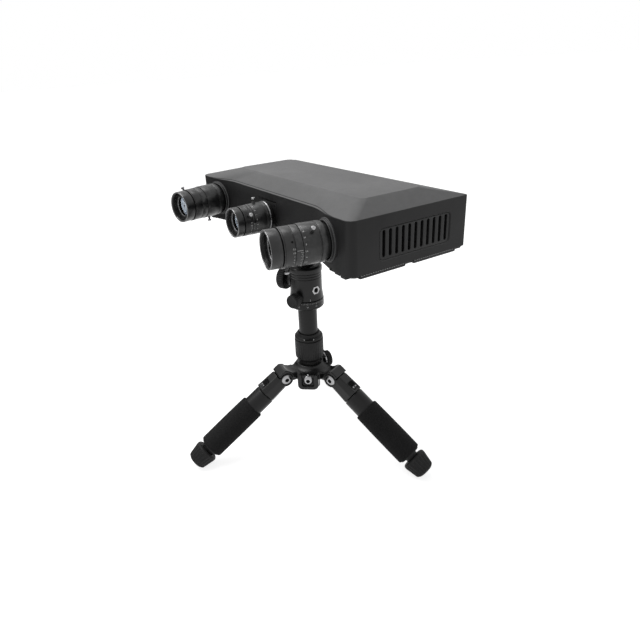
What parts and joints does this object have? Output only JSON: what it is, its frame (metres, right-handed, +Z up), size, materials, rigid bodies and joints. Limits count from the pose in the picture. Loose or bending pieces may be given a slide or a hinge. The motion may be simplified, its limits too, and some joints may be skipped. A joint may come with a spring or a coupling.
{
  "type": "three-d scanner",
  "caption": "Stereo structured-light scanner bar with toed-in camera lenses and a projector lens, on a ball head and a folding table tripod.",
  "frame": {"origin": "middle of the bounding box's base, on the floor under the feet", "axes": "+Z up, +X along the scanner bar towards its fan end, -Y the way the lenses look"},
  "size_m": [0.3372, 0.2982, 0.3692],
  "materials": {
    "cover": "fine matt texture",
    "base": "satin black",
    "grille": "fine matt texture",
    "lens_metal": "black anodised, satin",
    "lens_glass": "coated, glossy",
    "screw_steel": "bright",
    "machined": "dark anodised",
    "circuit": "solder mask",
    "fan_plastic": "plain",
    "switch": "glossy",
    "head_metal": "satin black",
    "stand_metal": "black anodised, satin",
    "knob_rubber": "ribbed",
    "grip_foam": "foam",
    "foot_rubber": "ribbed"
  },
  "bodies": {
    "stand": {"hub": "head_metal"},
    "column": {"center_column": "stand_metal", "pan_base": "stand_metal"},
    "head": {"head_body": "head_metal"},
    "ball_stem": {"ball": "stand_metal"},
    "clamp": {"clamp_platform": "head_metal"},
    "scanner": {"mounting_plate": "stand_metal", "base_plate": "base", "top_cover": "cover", "right_vent_grille": "grille", "left_vent_grille": "grille", "rear_panel": "grille", "right_camera_body": "machined", "left_camera_body": "machined", "projector_module": "machined", "control_board": "circuit", "fan_frame": "fan_plastic", "right_camera_lens_barrel": "lens_metal", "right_camera_front_glass": "lens_glass", "left_camera_lens_barrel": "lens_metal", "left_camera_front_glass": "lens_glass", "projector_lens_barrel": "lens_metal", "projector_front_glass": "lens_glass"},
    "front_leg": {"front_leg_casting": "head_metal", "front_pivot_screw": "screw_steel", "front_leg_tube": "stand_metal", "front_foam_grip": "grip_foam", "front_rubber_foot": "foot_rubber"},
    "right_leg": {"right_leg_casting": "head_metal", "right_pivot_screw": "screw_steel", "right_leg_tube": "stand_metal", "right_foam_grip": "grip_foam", "right_rubber_foot": "foot_rubber"},
    "rear_leg": {"rear_leg_casting": "head_metal", "rear_pivot_screw": "screw_steel", "rear_leg_tube": "stand_metal", "rear_foam_grip": "grip_foam", "rear_rubber_foot": "foot_rubber"},
    "front_stop": {"front_stop_tab": "stand_metal"},
    "right_stop": {"right_stop_tab": "stand_metal"},
    "rear_stop": {"rear_stop_tab": "stand_metal"},
    "collar": {"column_lock_collar": "knob_rubber"},
    "hub_knob": {"hub_knob": "knob_rubber"},
    "ball_lock_knob": {"ball_lock_knob": "knob_rubber"},
    "pan_lock_knob": {"pan_lock_knob": "stand_metal"},
    "clamp_knob": {"clamp_knob": "stand_metal"},
    "power_switch": {"power_switch": "switch"},
    "fan_rotor": {"fan_rotor": "fan_plastic"},
    "right_camera_focus_ring": {"right_camera_focus_ring": "lens_metal"},
    "left_camera_focus_ring": {"left_camera_focus_ring": "lens_metal"},
    "projector_focus_ring": {"projector_focus_ring": "lens_metal"},
    "right_camera_iris_ring": {"right_camera_iris_ring": "lens_metal"},
    "left_camera_iris_ring": {"left_camera_iris_ring": "lens_metal"},
    "projector_iris_ring": {"projector_iris_ring": "lens_metal"},
    "right_camera_focus_screw": {"right_camera_focus_screw": "screw_steel"},
    "right_camera_iris_screw": {"right_camera_iris_screw": "screw_steel"},
    "left_camera_focus_screw": {"left_camera_focus_screw": "screw_steel"},
    "left_camera_iris_screw": {"left_camera_iris_screw": "screw_steel"},
    "projector_focus_screw": {"projector_focus_screw": "screw_steel"},
    "projector_iris_screw": {"projector_iris_screw": "screw_steel"}
  },
  "joints": [
    {"name": "ball_tilt", "type": "hinge", "parent": "head", "child": "ball_stem", "pos_m": [-0.0011, 0.0292, 0.24869], "axis": [1, 0, 0], "range_deg": [-25, 25]},
    {"name": "head_pan", "type": "hinge", "parent": "column", "child": "head", "pos_m": [-0.0011, 0.0292, 0.2145], "axis": [0, 0, 1], "continuous": true},
    {"name": "clamp_spin", "type": "hinge", "parent": "ball_stem", "child": "clamp", "pos_m": [-0.0011, 0.0292, 0.2838], "axis": [0, 0, 1], "continuous": true},
    {"name": "column_slide", "type": "slide", "parent": "stand", "child": "column", "axis": [0, 0, 1], "range_m": [-0.035, 0.05]},
    {"name": "plate_slide", "type": "slide", "parent": "clamp", "child": "scanner", "axis": [1, 0, 0], "range_m": [-0.008, 0.008]},
    {"name": "front_leg_fold", "type": "hinge", "parent": "stand", "child": "front_leg", "pos_m": [-0.00736, -0.0103, 0.10429], "axis": [0.9877, -0.1564, 0], "range_deg": [0, 54]},
    {"name": "right_leg_fold", "type": "hinge", "parent": "stand", "child": "right_leg", "pos_m": [0.03624, 0.04354, 0.10429], "axis": [-0.3584, 0.9336, 0], "range_deg": [0, 54]},
    {"name": "rear_leg_fold", "type": "hinge", "parent": "stand", "child": "rear_leg", "pos_m": [-0.03219, 0.05438, 0.10429], "axis": [-0.6293, -0.7771, 0], "range_deg": [0, 54]},
    {"name": "front_stop_slide", "type": "slide", "parent": "front_leg", "child": "front_stop", "axis": [-0.1278, -0.8071, -0.5764], "range_m": [0, 0.003], "stiffness_N_per_m": 400, "springref_m": -0.001},
    {"name": "right_stop_slide", "type": "slide", "parent": "right_leg", "child": "right_stop", "axis": [0.7629, 0.2928, -0.5764], "range_m": [0, 0.003], "stiffness_N_per_m": 400, "springref_m": -0.001},
    {"name": "rear_stop_slide", "type": "slide", "parent": "rear_leg", "child": "rear_stop", "axis": [-0.635, 0.5142, -0.5764], "range_m": [0, 0.003], "stiffness_N_per_m": 400, "springref_m": -0.001},
    {"name": "collar_twist", "type": "hinge", "parent": "stand", "child": "collar", "pos_m": [-0.0011, 0.0292, 0.142], "axis": [0, 0, 1], "range_deg": [0, 120]},
    {"name": "hub_knob_turn", "type": "hinge", "parent": "stand", "child": "hub_knob", "pos_m": [-0.0011, 0.0292, 0.11419], "axis": [0.1564, 0.9877, 0], "range_deg": [0, 360]},
    {"name": "ball_lock_turn", "type": "hinge", "parent": "head", "child": "ball_lock_knob", "pos_m": [-0.0011, 0.0292, 0.23469], "axis": [-0.9063, -0.4226, 0], "range_deg": [0, 180]},
    {"name": "pan_lock_turn", "type": "hinge", "parent": "head", "child": "pan_lock_knob", "pos_m": [-0.0011, 0.0292, 0.21869], "axis": [0.4226, -0.9063, 0], "range_deg": [0, 180]},
    {"name": "clamp_knob_turn", "type": "hinge", "parent": "clamp", "child": "clamp_knob", "pos_m": [-0.0011, 0.0292, 0.28809], "axis": [0, 1, 0], "range_deg": [0, 360]},
    {"name": "power_rocker", "type": "hinge", "parent": "scanner", "child": "power_switch", "pos_m": [0.0409, 0.126, 0.32769], "axis": [1, 0, 0], "range_deg": [0, 12]},
    {"name": "fan_spin", "type": "hinge", "parent": "scanner", "child": "fan_rotor", "pos_m": [0.1474, 0.0557, 0.32789], "axis": [1, 0, 0], "continuous": true},
    {"name": "right_camera_focus_turn", "type": "hinge", "parent": "scanner", "child": "right_camera_focus_ring", "pos_m": [0.1248, -0.0258, 0.33109], "axis": [-0.1994, -0.9799, 0], "range_deg": [-100, 100]},
    {"name": "left_camera_focus_turn", "type": "hinge", "parent": "scanner", "child": "left_camera_focus_ring", "pos_m": [-0.127, -0.0258, 0.33109], "axis": [0.1994, -0.9799, 0], "range_deg": [-100, 100]},
    {"name": "projector_focus_turn", "type": "hinge", "parent": "scanner", "child": "projector_focus_ring", "pos_m": [-0.0011, -0.0258, 0.32999], "axis": [0, -1, 0], "range_deg": [-100, 100]},
    {"name": "right_camera_iris_turn", "type": "hinge", "parent": "scanner", "child": "right_camera_iris_ring", "pos_m": [0.1248, -0.0258, 0.33109], "axis": [-0.1994, -0.9799, 0], "range_deg": [-45, 45]},
    {"name": "left_camera_iris_turn", "type": "hinge", "parent": "scanner", "child": "left_camera_iris_ring", "pos_m": [-0.127, -0.0258, 0.33109], "axis": [0.1994, -0.9799, 0], "range_deg": [-45, 45]},
    {"name": "projector_iris_turn", "type": "hinge", "parent": "scanner", "child": "projector_iris_ring", "pos_m": [-0.0011, -0.0258, 0.32999], "axis": [0, -1, 0], "range_deg": [-45, 45]},
    {"name": "right_camera_focus_screw_turn", "type": "hinge", "parent": "right_camera_focus_ring", "child": "right_camera_focus_screw", "pos_m": [0.11925, -0.06712, 0.31118], "axis": [0.1364, -0.0277, -0.9903], "range_deg": [0, 360]},
    {"name": "right_camera_iris_screw_turn", "type": "hinge", "parent": "right_camera_iris_ring", "child": "right_camera_iris_screw", "pos_m": [0.13488, -0.04571, 0.34647], "axis": [0.6557, -0.1334, 0.7431], "range_deg": [0, 360]},
    {"name": "left_camera_focus_screw_turn", "type": "hinge", "parent": "left_camera_focus_ring", "child": "left_camera_focus_screw", "pos_m": [-0.13137, -0.06914, 0.34649], "axis": [-0.6299, -0.1282, 0.766], "range_deg": [0, 360]},
    {"name": "left_camera_iris_screw_turn", "type": "hinge", "parent": "left_camera_iris_ring", "child": "left_camera_iris_screw", "pos_m": [-0.1228, -0.0428, 0.3104], "axis": [0.0342, 0.007, -0.9994], "range_deg": [0, 360]},
    {"name": "projector_focus_screw_turn", "type": "hinge", "parent": "projector_focus_ring", "child": "projector_focus_screw", "pos_m": [0.01418, -0.0502, 0.33811], "axis": [0.8829, 0, 0.4695], "range_deg": [0, 360]},
    {"name": "projector_iris_screw_turn", "type": "hinge", "parent": "projector_iris_ring", "child": "projector_iris_screw", "pos_m": [-0.00171, -0.0353, 0.34758], "axis": [-0.0349, 0, 0.9994], "range_deg": [0, 360]}
  ]
}
